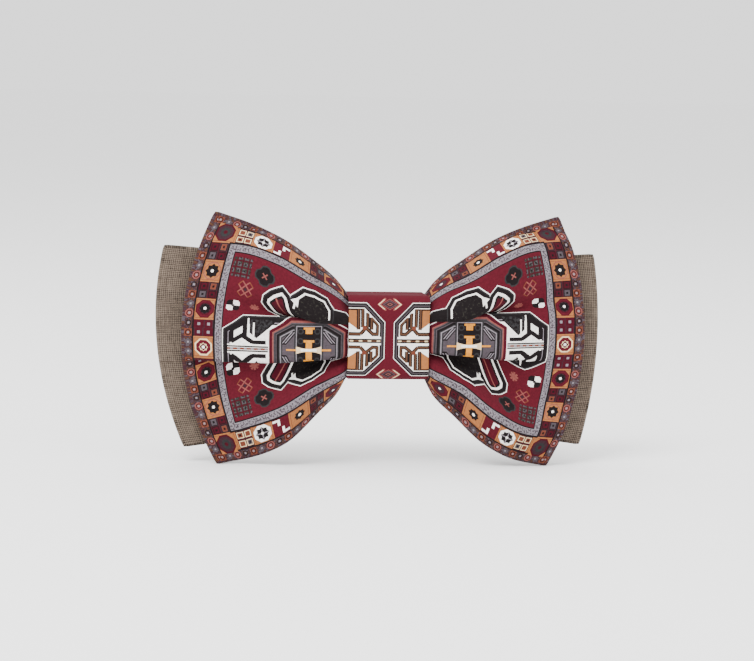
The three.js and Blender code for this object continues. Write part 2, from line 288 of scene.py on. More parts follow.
# The two wings of a bow were shaped by hand, so they differ a little. Where a fact has a
# value for each of them, it's (left, right). A list has a value for each station.
print_bow = Bow(
    half_width=37.8, flat_reach=57.5, waist_share=0.1, uneven=0.8,
    reach=(57.5, 57.0), sag=(0.0078, 0.0070), edge_middle=(0.1, 0.7),
    top_share=(1, 1), bottom_share=(1, 1),
    tops=[10.6, 15.3, 20.0, 26.4, 30.7, 33.8],
    bottoms=[-10.0, -16.7, -21.9, -30.1, -34.6, -36.6],
    axis_z=[-2.7, -2.7, -2.7, -2.7, -2.7, -2.6],
    pleats=[
        (28, 42, 5, [-74, -66, -50, -38, -30, -18]),
        (19.5, 27, 3.5, [-74, -52, -14, 0, 0, 0]),
        (12.6, 18, 3.0, [106, 98, 72, 32, 10, 2]),
        (8.4, 11.8, 2.6, [-106, -104, -92, -44, -14, -4]),
        (-27, -19, 4.5, [-70, -56, -34, -26, -12, -4]),
        (-42, -28, 5, [84, 60, 25, 14, 9, 4]),
    ],
    fold=(
        [-1.8, -2.2, -2.6, -3.6, -3.6, -3.0], 2.5, [10.2, 9.8, 7.8, 4.8, 3.6, 2.0],
        [135, 138, 146, 152, 134, 60], [1, 1, 1, 0.8, 0.35, 0.15],
    ),
    room=[6.4, 10.4, 12, 12, 12, 12],
    crest_y=[-22.4, -25.0, -25.8, -24.2, -21.0, -18.6],
    pucker=0.2, back_limit=-15.6,
)
LINEN_PLEAT = np.array([90, 70, 44, 18, 5, 0])
LINEN_HEM = np.array([90, 50, 26, 12, 4, 0])
linen_bow = Bow(
    half_width=28.6, flat_reach=63.4, waist_share=0.08, uneven=0,
    reach=(64.5, 62.0), sag=(0.0057, 0.0040), edge_middle=(6, 1.5),
    top_share=(0.985, 0.945), bottom_share=(1, 0.965),
    tops=[10.2, 14.6, 18.4, 21.6, 23.3, 24.4],
    bottoms=[-10.0, -16.0, -21.3, -27.0, -30.4, -32.2],
    axis_z=[0, 0, -0.8, -2.1, -2.8, -2.8],
    pleats=[
        (17, 30, 6, -LINEN_HEM),
        (8, 15, 4, LINEN_PLEAT),
        (0.5, 7, 4, -LINEN_PLEAT),
        (-7, -0.5, 4, LINEN_PLEAT),
        (-15, -8, 4, -LINEN_PLEAT),
        (-30, -17, 6, LINEN_HEM),
    ],
    fold=None,
    room=[1.4, 2.0, 2.6, 2.6, 2, 1.5],
    crest_y=[-14.2, -14.2, -14.0, -13.8, -13.4, -13.2],
    pucker=0.12, back_limit=-12.9,
)


def front_directions(points):
    """Unit directions out of a panel's front, at every point."""
    front = unit(np.cross(np.gradient(points, axis=0), np.gradient(points, axis=1)))
    return -front if front[..., 1].mean() > 0 else front


def bow_columns(bow, wing):
    """Column positions: crowded towards the knot, where the pleats are sharp."""
    out = bow.waist_share + (1 - bow.waist_share) * np.linspace(0, 1, wing) ** 1.12
    inside = np.linspace(0, bow.waist_share, WAIST_COLUMNS)[1:-1]
    half = np.concatenate([inside, out])
    middle = -1e-6  # not 0, so that it has a side
    return np.concatenate([-half[::-1], [middle], half])


def rim(points, front, radius):
    """The panel's edge points' indexes, and rings that carry that edge round to its back."""
    rows, columns = points.shape[:2]
    loop = (
        [(i, 0) for i in range(rows - 1)]
        + [(rows - 1, j) for j in range(columns - 1)]
        + [(i, columns - 1) for i in range(rows - 1, 0, -1)]
        + [(0, j) for j in range(columns - 1, 0, -1)]
    )
    index = tuple(np.array(loop).T)
    edge, normal = points[index], front[index]
    run = np.roll(edge, -1, 0) - np.roll(edge, 1, 0)
    out = unit(np.cross(normal, run))
    inward = points[rows // 2, columns // 2] - edge
    out *= np.where((out * inward).sum(1, keepdims=True) > 0, -1, 1)
    turns = np.linspace(0, EDGE_ROLL, EDGE_RINGS + 1)[1:]
    return index, [
        edge + radius * (out * math.sin(turn) - normal * (1 - math.cos(turn))) for turn in turns
    ]


def panel(name, bow, columns, rows, offset, thick, material, inset=0, rolled=False):
    """One layer of cloth, with thickness: a pleated panel, set off from the bow's middle
    surface, inset from its edge by some rows, or with its edges rolled towards the back.
    """
    points, cloth = bow.surface(columns, rows)
    front = front_directions(points)
    face = points + front * offset
    if inset:
        face, cloth, front = (t[inset:-inset, inset:-inset] for t in (face, cloth, front))
    count, width = face.shape[:2]
    verts, flats = [face.reshape(-1, 3)], [cloth.reshape(-1, 2)]
    faces = [grid_faces(count, width)]
    if rolled:
        index, rings = rim(face, front, offset)
        size = len(index[0])
        previous = index[0] * width + index[1]
        total = count * width
        for ring in rings:
            here = total + np.arange(size)
            faces.append(np.stack([previous, np.roll(previous, -1), np.roll(here, -1), here], 1))
            verts.append(ring)
            flats.append(cloth[index])
            previous, total = here, total + size
    piece = make_piece(
        name, np.concatenate(verts), np.concatenate(faces), material, "bow",
        np.concatenate(flats),
    )
    tidy_normals(piece, to_viewer=True)
    modify(piece, "SOLIDIFY", thickness=thick * MM, offset=-1)  # behind the front face
    return piece


def tidy_normals(piece, to_viewer=False):
    """Turns every face the same way: out of a closed form, or an open sheet to the viewer."""
    bm = bmesh.new()
    bm.from_mesh(piece.data)
    bmesh.ops.recalc_face_normals(bm, faces=bm.faces)
    if to_viewer and sum(f.normal.y * f.calc_area() for f in bm.faces) > 0:
        bmesh.ops.reverse_faces(bm, faces=bm.faces)
    bm.to_mesh(piece.data)
    bm.free()


def modify(piece, kind, **settings):
    """Gives a piece a modifier, and applies it."""
    modifier = piece.modifiers.new(kind, kind)
    for key, value in settings.items():
        setattr(modifier, key, value)
    with bpy.context.temp_override(object=piece, active_object=piece):
        bpy.ops.object.modifier_apply(modifier=modifier.name)


# ---------------- shader arithmetic


class Ink:
    """A number worked out by shader nodes, so that a pattern reads as arithmetic."""

    def __init__(self, socket):
        self.socket = socket

    def op(self, kind, *others, flip=False):
        node = self.socket.node.id_data.nodes.new("ShaderNodeMath")
        node.operation = kind
        terms = [self, *others][:: -1 if flip else 1]
        for slot, term in zip(node.inputs, terms):
            if isinstance(term, Ink):
                node.id_data.links.new(term.socket, slot)
            else:
                slot.default_value = term
        return Ink(node.outputs[0])

    __add__ = partialmethod(op, "ADD")
    __sub__ = partialmethod(op, "SUBTRACT")
    __rsub__ = partialmethod(op, "SUBTRACT", flip=True)
    __mul__ = partialmethod(op, "MULTIPLY")
    __truediv__ = partialmethod(op, "DIVIDE")
    __abs__ = partialmethod(op, "ABSOLUTE")
    __lt__ = partialmethod(op, "LESS_THAN")
    __gt__ = partialmethod(op, "GREATER_THAN")
    __and__ = partialmethod(op, "MULTIPLY")
    __or__ = partialmethod(op, "MAXIMUM")
    floor = partialmethod(op, "FLOOR")
    sine = partialmethod(op, "SINE")
    over = partialmethod(op, "MAXIMUM")  # of distances to two shapes: where they cross
    under = partialmethod(op, "MINIMUM")

    def __invert__(self):
        return 1 - self

    def cell(self, pitch):
        """Position inside a cell of that pitch, from minus half to plus half of it."""
        return (self / pitch).op("FRACT") * pitch - pitch / 2

    def every(self, pitch, start, end):
        """1 on the stretch from start to end of every pitch, counted from 0."""
        return ((self / pitch).op("FRACT") * pitch).between(start, end)

    def between(self, low, high):
        return (self > low) & (self < high)


def octagon(x, y):
    """How far (x, y) is from the middle, counted in regular octagons."""
    x, y = abs(x), abs(y)
    return x.over(y).over((x + y) * 0.7071)


def diamond(x, y):
    return abs(x) + abs(y)


def square(x, y):
    return abs(x).over(abs(y))


class Painter:
    """A material under construction: its node tree and the colour painted so far."""

    def __init__(self, name):
        self.material = bpy.data.materials.new(name)
        self.material.use_nodes = True
        self.tree = self.material.node_tree
        self.shader = self.tree.nodes["Principled BSDF"]
        self.colour = None

    def node(self, kind, **settings):
        made = self.tree.nodes.new(kind)
        for key, value in settings.items():
            setattr(made, key, value)
        return made

    def link(self, source, target):
        self.tree.links.new(source.socket if isinstance(source, Ink) else source, target)

    def cloth(self):
        """The cloth's coordinates, in millimetres, as a vector socket and two numbers."""
        place = self.node("ShaderNodeAttribute", attribute_name="cloth")
        parts = self.node("ShaderNodeSeparateXYZ")
        self.link(place.outputs["Vector"], parts.inputs[0])
        return place.outputs["Vector"], Ink(parts.outputs[0]), Ink(parts.outputs[1])

    def noise(self, vector, scale, detail=2.0, roughness=0.5, stretch=None):
        if stretch:
            scaled = self.node("ShaderNodeVectorMath", operation="MULTIPLY")
            self.link(vector, scaled.inputs[0])
            scaled.inputs[1].default_value = stretch
            vector = scaled.outputs[0]
        made = self.node("ShaderNodeTexNoise")
        for key, value in (("Scale", scale), ("Detail", detail), ("Roughness", roughness)):
            made.inputs[key].default_value = value
        self.link(vector, made.inputs["Vector"])
        return Ink(made.outputs[0])

    def ground(self, colour):
        node = self.node("ShaderNodeRGB")
        node.outputs[0].default_value = (*colour, 1)
        self.colour = node.outputs[0]

    def paint(self, colour, mask):
        """Lays a colour over what is painted so far, where the mask is 1."""
        made = self.node("ShaderNodeMix", data_type="RGBA")
        self.link(mask, made.inputs[0])
        self.link(self.colour, made.inputs[6])
        made.inputs[7].default_value = (*colour, 1)
        self.colour = made.outputs[2]

    def bands(self, depth, steps):
        """Paints nested bands: each step is (how far inside the shape it starts, colour)."""
        for start, colour in steps:
            self.paint(colour, depth > start)

    def rings(self, reach, steps, within=1):
        """Paints nested forms, the largest first: each step is (its half size, colour)."""
        for size, colour in steps:
            self.paint(colour, (reach < size) & within)

    def tint(self, amount, strength):
        """Darkens and lightens the paint by a number that is about a half."""
        value = self.node("ShaderNodeHueSaturation")
        self.link((amount - 0.5) * strength + 1, value.inputs["Value"])
        self.link(self.colour, value.inputs["Color"])
        self.colour = value.outputs[0]

    def bump(self, height, distance, strength=1.0):
        made = self.node("ShaderNodeBump")
        made.inputs["Distance"].default_value = distance * MM
        made.inputs["Strength"].default_value = strength
        self.link(height, made.inputs["Height"])
        self.link(made.outputs[0], self.shader.inputs["Normal"])

    def finish(self, **values):
        """The material, with the shader's sockets set by their names in small letters."""
        if self.colour is not None:
            self.link(self.colour, self.shader.inputs["Base Color"])
        for key, value in values.items():
            name = key.replace("_", " ").title().replace("Ior", "IOR")
            self.shader.inputs[name].default_value = value
        return self.material


BAND_HALF = 8.0  # the neckband's half width
STITCH_INSET = 1.5  # its topstitching's distance from its edges
KNOT_HALF = 11.7  # the knot's half width

# ---------------- the printed cotton

# Dyes, as linear reflectances.
CRIMSON = (0.067, 0.0062, 0.0118)
DEEP_RED = (0.045, 0.004, 0.009)
PLUM = (0.030, 0.0125, 0.017)
SLATE = (0.021, 0.020, 0.021)
BLACK = (0.008, 0.006, 0.0065)
WHITE = (0.80, 0.77, 0.73)
CREAM = (0.62, 0.46, 0.27)
TAN = (0.27, 0.100, 0.034)
GOLD = (0.52, 0.20, 0.02)
ROSE = (0.17, 0.048, 0.042)
RUST = (0.12, 0.032, 0.019)
BROWN = (0.070, 0.032, 0.018)
ASH = (0.054, 0.043, 0.050)
STONE = (0.17, 0.150, 0.168)
MOSS = (0.022, 0.021, 0.017)

HALF_LENGTH, HALF_WIDTH = print_bow.flat_reach, print_bow.half_width
END_CELL = 5.4  # pitch of the main border's squares along the wing's outer edge
SIDE_CELL = 5.75  # and along its long edges
END_START, SIDE_START = 32.4, 51.1  # b and a where the count of those squares starts
# How far from the panel's edge the outer band, the main border and the guard band end.
OUTER_END, BORDER_END, GUARD_END = 2.5, 8.3, 10.45
COTTON_PITCH, LINEN_PITCH = 0.3, 0.56  # of the woven threads


def polygon(a, b, *corners):
    """How deep (a, b) is inside a convex outline, given anticlockwise."""
    depth = None
    for (x0, y0), (x1, y1) in zip(corners, corners[1:] + corners[:1]):
        length = math.hypot(x1 - x0, y1 - y0)
        nx, ny = (y0 - y1) / length, (x1 - x0) / length
        edge = a * nx + b * ny - (x0 * nx + y0 * ny)
        depth = edge if depth is None else depth.under(edge)
    return depth


def stroke(a, b, start, end, width):
    """1 along a straight bar from start to end."""
    length = math.dist(start, end)
    ux, uy = (end[0] - start[0]) / length, (end[1] - start[1]) / length
    x, y = a - (start[0] + end[0]) / 2, b - (start[1] + end[1]) / 2
    along, across = abs(x * ux + y * uy), abs(x * uy - y * ux)
    return (along < length / 2) & (across < width / 2)


def paint_small_flowers(p, place, depth, mottle):
    """The narrow outer band: a mottled row of small flowers in muted colours."""
    band = depth < OUTER_END
    x, y = place.cell(0.5) * END_CELL, depth - OUTER_END / 2
    flower = square(x, y)
    p.paint(PLUM, depth < BORDER_END + 0.9)
    p.paint(ASH, band & (mottle > 0.56))
    p.paint(BROWN, band & (mottle < 0.45))
    p.paint(ROSE, band & place.every(2, 0, 0.5) & (octagon(x, y) < 1.15))
    p.paint(RUST, band & place.every(2, 1, 1.5) & (flower < 1.05))
    p.paint(BLACK, band & octagon(x, y).between(0.55, 0.8))
    p.paint(ASH, band & place.every(2, 1.5, 2) & diamond(x, y).between(0.5, 1.15))
    p.paint(STONE, band & (flower < 0.28))
    p.paint(BLACK, depth.between(OUTER_END - 0.2, OUTER_END + 0.3))


def paint_squares(p, place, depth, on_end):
    """The main border: tan squares with stars and octagons, and quartered plum ones."""
    inside = depth.between(OUTER_END + 0.25, BORDER_END)
    pair = (place / 2 + 0.5).floor()
    x = (place - pair * 2) * END_CELL
    y = depth - 5.5
    tan = inside & (abs(x) < 3.05)
    ring, cross = octagon(x, y), square(x, y)
    star = cross.under(diamond(x, y) * 0.7071)
    second, third = tan & pair.between(0.5, 1.5), tan & pair.between(1.5, 2.5)
    fourth = tan & (pair > 2.5)
    p.paint(TAN, tan)
    p.paint(RUST, tan & cross.between(2.5, 2.62))
    pale = second & ~on_end
    p.paint(WHITE, pale & (ring < 2.5))
    p.paint(ROSE, second & on_end & ring.between(2.15, 2.4))
    p.paint(BLACK, second & (star < 1.45) & (ring < 2.0))
    p.paint(STONE, pale & (abs(x).under(abs(y)) < 0.16) & (ring < 1.7))
    red = (third & on_end) | (fourth & ~on_end)
    p.rings(ring, [(2.55, DEEP_RED), (2.3, CRIMSON), (1.8, DEEP_RED), (1.45, PLUM)], red)
    p.paint(BLACK, third & (star < 1.15))
    flower = fourth & on_end
    p.paint(CREAM, flower & (ring < 2.4))
    p.paint(CRIMSON, flower & (ring < 2.0) & (star > 0.9))
    p.paint(DEEP_RED, flower & (diamond(x, y) < 1.1))
    p.paint(WHITE, (ring < 0.42) & (second | third | fourth))

    between = inside & (abs(x) > 3.05)
    odd = (place / 2).floor()
    x = (place - odd * 2 - 1) * END_CELL
    qx, qy = abs(x) - 1.15, abs(y) - 1.35
    box = square(qx, qy)
    like, unlike = (x * y) > 0, (x * y) < 0  # pairs of quarters, corner to corner
    p.paint(DEEP_RED, between & like)
    p.paint(ASH, between & (box < 0.85) & unlike)
    p.paint(RUST, between & (box < 0.8) & (x < 0) & (y > 0))
    p.paint(BLACK, between & box.between(0.85, 1.05))
    p.paint(BLACK, between & (box < 0.3))
    dotted = between & on_end & (odd > 1.5)
    p.paint(DEEP_RED, dotted & (box < 1.05))
    p.paint(STONE, dotted & (box < 0.4))
    netted = between & ~on_end & (odd < 0.5)
    p.paint(CREAM, netted & box.between(0.72, 0.98))
    p.paint(RUST, netted & (box < 0.72) & like)
    hooked = between & ~on_end & odd.between(0.5, 1.5)
    p.paint(CRIMSON, hooked)
    hook = (box < 1.0) & ~(square(qx - 0.5, qy + 0.5) < 0.8)
    p.paint(WHITE, hooked & hook & unlike)


def paint_border(p, a, b, mottle):
    """Rows of motifs round the panel: a narrow band, the main border and a speckled guard."""
    from_end, from_side = HALF_LENGTH - a, HALF_WIDTH - b
    depth = from_end.under(from_side)
    on_end = from_end < from_side
    on_side = 1 - on_end
    place = (END_START - b) / END_CELL * on_end + (SIDE_START - a) / SIDE_CELL * on_side
    paint_small_flowers(p, place, depth, mottle)
    paint_squares(p, place, depth, on_end)
    p.paint(BLACK, depth.between(BORDER_END - 0.15, BORDER_END + 0.45))
    x, y = from_end - 5.6, from_side - 5.0
    corner = octagon(x, y)
    p.paint(TAN, square(x, y) < 2.9)
    p.rings(corner, [(2.95, DEEP_RED), (2.4, PLUM), (1.5, SLATE), (0.6, DEEP_RED)])
    return depth


def paint_guard(p, depth, speckle):
    """The speckled grey band between the main border and the field."""
    p.paint(STONE, depth.between(BORDER_END + 0.4, GUARD_END))
    p.paint(ASH, depth.between(BORDER_END + 0.5, GUARD_END - 0.15) & (speckle > 0.52))
    p.paint(BLACK, depth.between(GUARD_END, GUARD_END + 0.3))
    p.paint(CRIMSON, depth > GUARD_END + 0.3)


def paint_field(p, a, b, mottle):
    """Small motifs between the border and the medallion."""
    # checkered block in the corner
    x, y = a - 43.7, b - 23.4
    block = square(x, y) < 2.7
    tile = square(x.cell(1.8), y.cell(1.8))
    p.paint(MOSS, block)
    p.paint(DEEP_RED, block & (tile > 0.72))
    p.paint(ASH, block & (tile < 0.6) & (mottle > 0.5))
    p.paint(BLACK, block & (tile < 0.22))
    # dark flower
    x, y = a - 36.9, b - 22.9
    bloom = octagon(x, y) - abs(abs(x) - abs(y)) * 0.22
    p.rings(bloom, [(2.3, SLATE), (1.95, BLACK)])
    p.paint(ROSE, (abs(abs(x) - abs(y)) < 0.26) & (bloom < 0.95))
    # lattice
    x, y = a - 41.6, b - 17.8
    d, e = abs(x + y) * 0.7071, abs(x - y) * 0.7071
    p.paint(ROSE, (abs(d - 0.75) < 0.17) & (e < 2.2))
    p.paint(ROSE, (abs(e - 0.75) < 0.17) & (d < 2.2))
    p.paint(RUST, square(d, e).between(2.0, 2.3) & ((d * e) < 1.9))
    p.paint(PLUM, square(d, e) < 0.4)
    # four-petalled flower in black and white
    x, y = a - 44.3, b - 12.3
    petals = (square(x, y * 1.05) < 1.85) & (octagon(x, y) < 2.15)
    p.paint(WHITE, petals & ((x * y) < 0))
    p.paint(BLACK, petals & ((x * y) > 0))
    p.paint(BLACK, square(x, y) < 0.4)
    # small star
    x, y = a - 38.2, b - 12.6
    spokes = abs(x).under(abs(y)).under(abs(abs(x) - abs(y)) * 0.75)
    p.paint(ROSE, (spokes < 0.3) & (octagon(x, y) < 1.35))


def paint_outline(p, a, b, mottle):
    """The outer figure: a head on the axis, a slanting arm and a dark leaf, in one outline; the
    leaf's black tip is partly print and partly painted valley shade.
    """
    head = polygon(a, b, (46.8, -9), (46.8, 5.6), (40.2, 9.9), (31.3, 9.1), (26, 9.0), (26, -9))
    arm = polygon(
        a, b, (36.7, 15.6), (36.7, 18.1), (35.0, 20.1), (31.7, 22.7), (29.2, 21.2),
        (23.5, 12.3), (25.5, 8.0), (31.2, 8.6),
    )
    leaf = polygon(
        a, b, (30.2, 10), (29.4, 21.3), (26.3, 25.2), (22.7, 25.8), (18.7, 25.0), (16.3, 21.3),
        (16.0, 10),
    )
    # the leaf's black tip towards the knot: partly print, partly painted shade of the valley there
    leaf_tip_and_valley_shade = polygon(a, b, (17.2, 10), (17.2, 21.4), (12.8, 20.9), (11.0, 18.6), (11.0, 10))
    figure = head.over(arm).over(leaf).over(leaf_tip_and_valley_shade)
    p.bands(figure, [(0, WHITE), (0.25, SLATE), (0.6, BLACK)])
    # the leaf's inner white line runs only along its top; below it the black is partly painted
    # valley shade
    p.paint(WHITE, leaf.between(1.45, 1.95) & (b > 18.5))
    p.paint(MOSS, (leaf > 2.4) & (mottle > 0.6))
    p.paint(WHITE, polygon(a, b, (29.0, 20.2), (26.9, 21.9), (26.9, 19.2)) > 0)
    p.bands(arm, [(0.6, BLACK), (1.6, WHITE), (2.3, BLACK), (2.9, DEEP_RED)])
    p.paint(ROSE, stroke(a, b, (33.0, 18.6), (28.4, 13.0), 0.42))
    return head


def paint_head(p, a, b, head, mottle):
    """Dark hooks on the head's white ground, and the chain along its axis."""
    p.bands(head, [(0.2, SLATE), (0.6, BLACK), (1.6, STONE), (1.8, BLACK), (2.2, WHITE)])
    for start, end, width in (
        ((44.1, 5.4), (44.1, 1.7), 1.2),
        ((44.3, 5.2), (41.0, 7.2), 1.2),
        ((44.2, 1.9), (41.2, 3.8), 1.2),
        ((41.6, 4.0), (38.4, 1.9), 1.25),
        ((40.5, 8.6), (40.5, 3.4), 1.3),
        ((38.6, 1.9), (34.7, 1.9), 1.1),
    ):
        p.paint(BLACK, stroke(a, b, start, end, width) & (head > 0.6))
    wedge = polygon(a, b, (39.2, 8.4), (31.4, 8.4), (37.3, 3.0), (39.2, 4.6))
    p.paint(BLACK, wedge > 0)
    p.paint(SLATE, (wedge > 0.3) & (mottle > 0.5))
    p.paint(WHITE, stroke(a, b, (38.1, 7.4), (38.1, 2.9), 0.42))
    p.paint(WHITE, stroke(a, b, (39.6, 8.4), (39.6, 4.6), 0.4))
    axis = a.between(33, 45.3)
    p.rings(b, [(1.25, WHITE), (0.85, BLACK), (0.42, WHITE), (0.3, RUST)], axis)
    p.paint(STONE, axis & (b < 0.3) & a.every(1.9, 0, 0.8))


def paint_medallion(p, a, b):
    """The banded six-sided medallion on the axis, with its framed gold ornament."""
    reach = abs(a - 22.9)
    edge = (reach - 11.2).over(b - 9.1).over(reach * 0.51 + b * 0.86 - 10.5) * -1
    p.bands(
        edge,
        [
            (0, WHITE), (0.22, CRIMSON), (0.5, DEEP_RED), (1.1, ROSE), (1.5, ASH), (1.75, SLATE),
            (2.1, ASH), (2.35, BLACK), (2.95, SLATE), (3.25, STONE), (3.55, SLATE), (3.9, ASH),
        ],
    )
    core = edge > 3.7
    slash = abs(reach - 5.5 + (b - 3.6) * 0.8)
    p.paint(BLACK, core & (slash < 0.95) & b.between(1.5, 5.6))
    p.paint(STONE, core & slash.between(0.2, 0.55) & b.between(1.9, 5.2))
    for colour, half, top in ((SLATE, 4.0, 7.2), (STONE, 3.55, 6.9), (BLACK, 3.3, 6.65)):
        p.paint(colour, (reach < half) & (b < top))
    for low, high, half in ((0, 2.9, 0.85), (4.6, 6.5, 0.95), (2.3, 2.95, 1.5), (5.9, 6.5, 1.5)):
        p.paint(GOLD, b.between(low, high) & (reach < half))
    for y in (2.6, 5.3):
        p.paint(SLATE, octagon(reach - 2.3, b - y).between(0.5, 0.85))
    flare = reach * reach * 0.055 + 0.42
    p.paint(CREAM, (reach < 3.5) & (b < flare))
    p.paint(WHITE, (reach < 2.2) & (b < 0.32))
    p.paint(GOLD, reach.between(3.5, 6.2) & (b < 0.24))


def weave_height(u, v, pitch):
    """Plain weave: warp and weft threads that pass over each other in turn."""
    turn = math.pi / pitch
    x, y = (u * turn).sine(), (v * turn).sine()
    over = x * y
    return abs(x) * (over * 0.5 + 0.5) + abs(y) * (0.5 - over * 0.5)


def finish_cotton(p, u, v, mottle, patchiness, thread_shade):
    """Uneven dye, a fine weave and a dull surface, over what is printed."""
    p.tint(mottle, patchiness)
    weave = weave_height(u, v, COTTON_PITCH)
    p.tint(weave, thread_shade)
    p.bump(weave, 0.05, 0.6)
    return p.finish(
        roughness=0.85, sheen_weight=0.015, sheen_roughness=0.5, specular_ior_level=0.05
    )


def printed_cotton():
    """The bow's print, from its edges inwards."""
    p = Painter("printed_cotton")
    place, u, v = p.cloth()
    speckle = p.noise(place, 2.1, 1.0)
    mottle = p.noise(place, 1.3, 3.0, 0.7)
    a, b = abs(u), abs(v)
    p.ground(CRIMSON)
    depth = paint_border(p, a, b, mottle)
    paint_guard(p, depth, speckle)
    paint_field(p, a, b, mottle)
    head = paint_outline(p, a, b, mottle)
    paint_head(p, a, b, head, mottle)
    paint_medallion(p, a, b)
    return finish_cotton(p, u, v, mottle, 1.0, 0.25)


def paint_gem(p, a, b):
    """A small diamond between two chevrons, at the knot's top and bottom."""
    d = abs(b - 10.4)
    chevron = a * 0.62 + d * 0.78
    p.paint(ROSE, chevron.between(1.66, 2.26) & (d < 1.75) & (a > 1.0))
    p.paint(CREAM, chevron.between(1.86, 2.1) & (d < 1.4) & (a > 1.4))
    gem = a * 0.55 + d
    p.rings(
        gem,
        [
            (1.55, ROSE), (1.35, DEEP_RED), (1.15, ASH), (0.9, DEEP_RED), (0.72, SLATE),
            (0.48, ROSE), (0.28, SLATE),
        ],
    )


def paint_knot_figure(p, x, b):
    """Half of an octagon at the knot's side, x from the side edge and b from its axis."""
    edge = (x - 10.4).over(b - 10.9).over(x * 0.72 + b * 0.69 - 11.2) * -1
    p.bands(
        edge,
        [(0, WHITE), (0.18, BLACK), (0.5, SLATE), (0.8, ASH), (1.05, BLACK), (1.5, WHITE)],
    )
    core = edge > 1.7
    p.paint(TAN, polygon(x, b, (0, 9.2), (0, 5.1), (2.7, 3.2), (2.7, 9.2)) > 0)
    bars = (
        ((2.75, 9.2), (2.75, 3.2)),
        ((3.95, 9.3), (3.95, 3.9)),
        ((0.0, 9.25), (4.2, 9.25)),
        ((0.0, 1.95), (3.4, 1.95)),
        ((3.3, 1.9), (4.8, 3.6)),
        ((5.4, 8.0), (5.4, 3.8)),
        ((4.9, 3.7), (7.2, 1.7)),
        ((6.5, 6.6), (8.3, 4.6)),
        ((8.3, 4.7), (8.3, 1.8)),
        ((6.5, 6.7), (6.5, 3.2)),
        ((6.9, 1.95), (8.6, 1.95)),
    )
    for colour, width in ((BLACK, 1.1), (BROWN, 0.5)):
        for start, end in bars:
            p.paint(colour, stroke(x, b, start, end, width) & core)
    p.paint(RUST, core & (octagon(x - 4.5, b - 3.7) < 0.62))
    axis = x < 9.3
    p.rings(b, [(1.2, WHITE), (0.62, BLACK), (0.2, BROWN)], axis)
    p.paint(CREAM, axis & (b < 0.2) & x.every(2.6, 0.3, 1.3))


def knot_cotton():
    """The knot's print: two half octagons on crimson, with a diamond above and below."""
    p = Painter("knot_cotton")
    place, u, v = p.cloth()
    mottle = p.noise(place, 1.3, 3.0, 0.7)
    # the print was wrapped a little low, and its lower half drawn in towards the axis
    low, draw_in = 0.8, 0.1
    a, b = abs(u), abs(v + low) * ((v < -low) * draw_in + 1)
    p.ground(CRIMSON)
    paint_gem(p, a, b)
    paint_knot_figure(p, KNOT_HALF - a, b)
    return finish_cotton(p, u, v, mottle, 0.5, 0.12)


def taupe_linen(name, stitched=False):
    """Coarse linen with slubs both ways, and on the band two rows of topstitching: thread dashes
    over a painted shaded groove.
    """
    p = Painter(name)
    place, u, v = p.cloth()
    p.ground((0.074, 0.056, 0.043))
    slub_u = p.noise(place, 1.0, 2.0, 0.6, stretch=(0.25, 3.2, 1))
    slub_v = p.noise(place, 1.0, 2.0, 0.6, stretch=(3.2, 0.25, 1))
    wander_u, wander_v = u + (slub_v - 0.5) * 0.5, v + (slub_u - 0.5) * 0.5
    weave = weave_height(wander_u, wander_v, LINEN_PITCH)
    p.tint(weave, 2.8)
    p.tint(slub_u, 0.45)
    p.tint(slub_v, 0.45)
    if stitched:
        row = abs(abs(v) - BAND_HALF + STITCH_INSET) < 0.21
        # painted shade of the stitching's sunken groove, under the thread's dashes
        p.paint((0.020, 0.015, 0.012), row)
        p.paint((0.26, 0.22, 0.18), row & u.every(2.4, 0, 1.8))
    p.bump(weave, 0.16, 0.9)
    return p.finish(roughness=0.9, sheen_weight=0.02, sheen_roughness=0.6, specular_ior_level=0.06)


def interlining_felt():
    p = Painter("interlining_felt")
    place, _, _ = p.cloth()
    p.ground((0.62, 0.59, 0.52))
    fibre = p.noise(place, 2.0, 4.0, 0.7)
    p.tint(fibre, 0.3)
    p.bump(fibre, 0.1, 0.6)
    return p.finish(roughness=0.95, specular_ior_level=0.15)


def sewing_thread():
    p = Painter("sewing_thread")
    place = p.node("ShaderNodeTexCoord").outputs["Object"]
    p.ground((0.075, 0.058, 0.046))
    twist = p.noise(place, 1400.0, 2.0, 0.5)
    p.tint(twist, 0.5)
    p.bump(twist, 0.05, 0.5)
    return p.finish(roughness=0.6, sheen_weight=0.2, sheen_roughness=0.4)


def fitting_metal():
    p = Painter("fitting_metal")
    place = p.node("ShaderNodeTexCoord").outputs["Object"]
    p.ground((0.21, 0.205, 0.195))
    brushed = p.noise(place, 900.0, 3.0, 0.6, stretch=(0.12, 1, 1))
    p.tint(brushed, 0.14)
    wear = p.noise(place, 160.0, 4.0, 0.7)
    p.tint(wear, 0.5)
    p.link((wear - 0.5) * 0.5 + 0.32, p.shader.inputs["Roughness"])
    p.bump(brushed, 0.01, 0.4)
    return p.finish(metallic=1.0)


COTTON = printed_cotton()
KNOT_COTTON = knot_cotton()
LINEN = taupe_linen("taupe_linen")
BAND_LINEN = taupe_linen("band_linen", stitched=True)
FELT = interlining_felt()
THREAD = sewing_thread()
METAL = fitting_metal()

# ---------------- the bows' pieces

CLOTH_THICK, FELT_THICK = 0.3, 0.34
# From a bow's middle surface forwards to the faces of its layers.
FRONT_FACE, FELT_FACE = 0.75, 0.18
BACK_FACE = CLOTH_THICK - FRONT_FACE
EDGE_ROLL, EDGE_RINGS = 2.5, 5  # how far a front cloth's edge turns, in radians and in rings
WAIST_COLUMNS = 8


